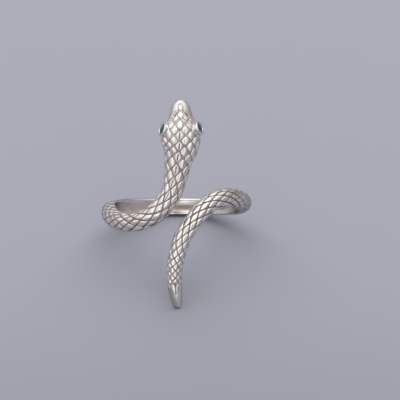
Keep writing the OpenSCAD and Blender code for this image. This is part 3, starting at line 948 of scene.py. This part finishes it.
# Eye cups, each turned about its own axis; +Z is out of the rim
eyes = {
    "out": (2.56, 2.80), "along": (11.13, 11.33), "front": 10.4, "middle": 0.6, "forward": 20, "up": 24,
    "cupR": 0.95, "cupDepth": 1.15, "rimR": 0.135, "pocketR": 0.68, "ledge": 0.19, "seatR": 0.52,
    "pocketDepth": 0.72, "sides": 72, "rimSteps": 12,
    "floorShare": 0.9,      # of the cup's radius at its floor and at its waist, so many rim radii down
    "waistShare": 0.97,
    "waistDown": 4,
    "innerStep": 0.1,       # how far inside the pocket's wall the cup's top is flat
}


def eyePlace(side):
    turn = -eyes["up"] if side > 0 else 180 + eyes["up"]
    out = side * eyes["out"][side > 0]
    spot = Vector((eyes["middle"] + out, -eyes["front"], eyes["along"][side > 0]))
    return (ringPlace @ Matrix.Translation(spot) @ Matrix.Rotation(math.radians(turn), 4, "Z")
            @ Matrix.Rotation(math.radians(90 - eyes["forward"]), 4, "Y"))


# Closed solid turned from an outline of (radius, height) points that starts and ends on the axis
def turnedSolid(name, outline, place):
    sides = eyes["sides"]
    points = [Vector((0, 0, outline[0][1])), Vector((0, 0, outline[-1][1]))]
    rings = outline[1:-1]
    for r, z in rings:
        points += [Vector((r * math.cos(a), r * math.sin(a), z))
                   for a in (2 * math.pi * n / sides for n in range(sides))]
    faces = []
    for n in range(sides):
        m = (n + 1) % sides
        faces.append((0, 2 + m, 2 + n))
        for k in range(len(rings) - 1):
            low, high = 2 + k * sides, 2 + (k + 1) * sides
            faces.append((low + n, low + m, high + m, high + n))
        top = 2 + (len(rings) - 1) * sides
        faces.append((top + n, top + m, 1))
    piece = newPiece(name, [place @ p for p in points], faces)
    piece.data.shade_smooth()
    return piece


def cupOutline():
    r, rim, steps = eyes["cupR"], eyes["rimR"], eyes["rimSteps"]
    outline = [(0, -eyes["cupDepth"]), (r * eyes["floorShare"], -eyes["cupDepth"]),
               (r * eyes["waistShare"], -rim * eyes["waistDown"])]
    for n in range(steps + 1):
        a = math.pi * n / steps
        outline.append((r - rim + rim * math.cos(a), -rim + rim * math.sin(a)))
    return outline + [(eyes["pocketR"] - eyes["innerStep"], -rim), (0, -rim)]


def pocketOutline():
    return [(0, -eyes["pocketDepth"]), (eyes["seatR"], -eyes["pocketDepth"]), (eyes["seatR"], -eyes["ledge"]),
            (eyes["pocketR"], -eyes["ledge"]), (eyes["pocketR"], 1), (0, 1)]


def cutOrJoin(target, tool, operation):
    modifier = target.modifiers.new(tool.name, "BOOLEAN")
    modifier.object = tool
    modifier.operation = operation
    modifier.solver = "MANIFOLD"
    settle(target)
    discard(tool)


for side in (-1, 1):
    cutOrJoin(body, turnedSolid("cup", cupOutline(), eyePlace(side)), "UNION")
    cutOrJoin(body, turnedSolid("pocket", pocketOutline(), eyePlace(side)), "DIFFERENCE")
print("with eye cups:", len(body.data.vertices), "points,", len(body.data.polygons), "faces")
discard(guide)

# Clear deep green glass of the eye stones, with painted glints of lighter green in noise spots
emerald = {
    "colour": (0.003, 0.11, 0.045, 1),
    # painted glints: the lighter green of the noise spots
    "light": (0.03, 0.42, 0.19, 1),
    "cloudScale": 3000,
    "glintEdges": (0.4, 0.6),
    "roughness": 0.04,
    "clear": 0.85,
    "ior": 1.58,
}


def makeEmerald():
    material = bpy.data.materials.new("green_stone")
    material.use_nodes = True
    b = Board(material.node_tree)
    material.node_tree.nodes.clear()
    cloud = b.clouds(b.coordinates("Object"), emerald["cloudScale"], 2)
    # Painted glints: lighter green where the noise is high
    colour = b.mixed("RGBA", cloud.ramp(*emerald["glintEdges"]), emerald["colour"], emerald["light"])
    shader = b.add("ShaderNodeBsdfPrincipled", {}, {
        "Base Color": colour, "Roughness": emerald["roughness"],
        "Transmission Weight": emerald["clear"], "IOR": emerald["ior"],
    })[0]
    b.add("ShaderNodeOutputMaterial", {}, {0: shader})
    return material


emeraldLook = makeEmerald()
for name in ("eye_stone_left", "eye_stone_right"):
    stone = frame["nodes"][name]
    stone.data.materials.clear()
    stone.data.materials.append(emeraldLook)

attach(body, "root")
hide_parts("snake_body")
print("silver body and green stones are dressed")

# Floor, light tent and soft box
studio = {
    "floorSize": 6,
    "floorColour": (0.221, 0.225, 0.266, 1),
    "floorLitTo": 0.10,     # metres from the ring to which the painted pool of light reaches, and where the painted shade beyond it is darkest
    "floorShadedAt": 0.5,
    "floorShadedShare": 0.45,
    "floorShade": 0.06,     # metres before the ring over which painted shade darkens it towards the camera
    "floorNearShade": 0.42,
    "floorRoughness": 0.9,
    "floorGloss": 0.2,
    "keyPlace": (0.0, 0.34, 0.45),
    "keySize": (1.3, 0.7),
    "keyPower": 5.7,
}
# The tent's light. A pair of numbers gives shares of the way from a plane to the direction it faces, between
# which the light changes.
tent = {
    "colour": (1, 0.99, 0.97, 1),
    "strength": 0.75,
    "low": 0.25,            # light from below, and what is added above the horizon and high up
    "horizon": 0.45,
    "horizonEdges": (-0.1, 0.3),
    "high": 0.4,
    "highEdges": (0.1, 0.9),
    "darkerRight": 0.35,
    "panels": 0.55,         # brightness of the panels beside the camera
    "panelEdges": (0.3, 0.75),
    "strips": 0.5,          # of the lamps nearest to it
    "stripEdges": (0.24, 0.34),
    "panelBottom": (-0.85, -0.4),
    "panelTop": (0.7, 0.95),
    "panelFront": (-0.1, 0.5),
    "above": 0.35,          # and of the panel over the ring
    "aboveEdges": (0.7, 0.9),
    "gapWide": 11,          # degrees from the middle of the camera's opening to its edges
    "gapHigh": 26,
    "gapEdges": (0.75, 1.25),
    "gapDark": 0.95,
}


def makeFloor():
    h = studio["floorSize"] / 2
    floor = newPiece("floor", [(-h, -h, 0), (h, -h, 0), (h, h, 0), (-h, h, 0)], [(0, 1, 2, 3)])
    material = bpy.data.materials.new("paper")
    material.use_nodes = True
    b = Board(material.node_tree)
    material.node_tree.nodes.clear()
    spot = b.coordinates("Object")
    x, y = b.parts(spot)[:2]
    # Painted light and shade: the paper is lighter near the ring and darkens away from it and towards the camera
    away = ((x * x + y * y) ** 0.5).ramp(studio["floorLitTo"], studio["floorShadedAt"])
    nearShade = b.dot(spot, tuple(photoView[2])).ramp(0, studio["floorShade"])
    dark = tuple(c * studio["floorShadedShare"] for c in studio["floorColour"][:3]) + (1,)
    colour = b.mixed("RGBA", away.max(nearShade * studio["floorNearShade"]), studio["floorColour"], dark)
    shader = b.add("ShaderNodeBsdfPrincipled", {}, {
        "Base Color": colour, "Roughness": studio["floorRoughness"], "Specular IOR Level": studio["floorGloss"],
    })[0]
    b.add("ShaderNodeOutputMaterial", {}, {0: shader})
    floor.data.materials.append(material)


def makeTent():
    world = bpy.data.worlds.new("tent")
    scene.world = world
    world.use_nodes = True
    b = Board(world.node_tree)
    world.node_tree.nodes.clear()
    way = b.vector("NORMALIZE", b.coordinates("Generated"))
    z = b.parts(way)[2]

    def share(direction, degrees=90):      # of the way from the direction's plane to this angle
        return b.dot(way, tuple(direction)) / math.sin(math.radians(degrees))

    right, up, towards = photoView
    off = share(right, tent["gapWide"]) ** 2 + share(up, tent["gapHigh"]) ** 2
    opening = (1 - off.ramp(*tent["gapEdges"])) * (share(towards) > 0)
    beside = share(right).abs()
    besidePanels = (1 - beside.ramp(*tent["panelEdges"])) * tent["panels"]
    panels = besidePanels + (1 - beside.ramp(*tent["stripEdges"])) * tent["strips"]
    height = share(up).ramp(*tent["panelBottom"]) * (1 - share(up).ramp(*tent["panelTop"]))
    high = z.ramp(*tent["highEdges"]) * tent["high"]
    lit = high + z.ramp(*tent["horizonEdges"]) * tent["horizon"] + tent["low"]
    cloth = lit * (1 - share(right) * tent["darkerRight"])
    light = cloth * tent["strength"] + panels * (height * share(towards).ramp(*tent["panelFront"]))
    light = light + share(up).ramp(*tent["aboveEdges"]) * tent["above"]
    back = b.add("ShaderNodeBackground", {}, {
        "Color": tent["colour"], "Strength": light * (1 - opening * tent["gapDark"]),
    })[0]
    b.add("ShaderNodeOutputWorld", {}, {0: back})


def makeSoftBox(name, place, size, power):
    data = bpy.data.lights.new(name, "AREA")
    data.shape = "RECTANGLE"
    data.size, data.size_y = size
    data.energy = power
    lamp = bpy.data.objects.new(name, data)
    scene.collection.objects.link(lamp)
    place = Vector(place)
    lamp.location = place
    lamp.rotation_euler = (-place).to_track_quat("-Z", "Y").to_euler()
    lamp.visible_glossy = False      # the tent's panels are what the silver mirrors


makeFloor()
makeTent()
makeSoftBox("key", studio["keyPlace"], studio["keySize"], studio["keyPower"])
print("floor, tent and key light are set")
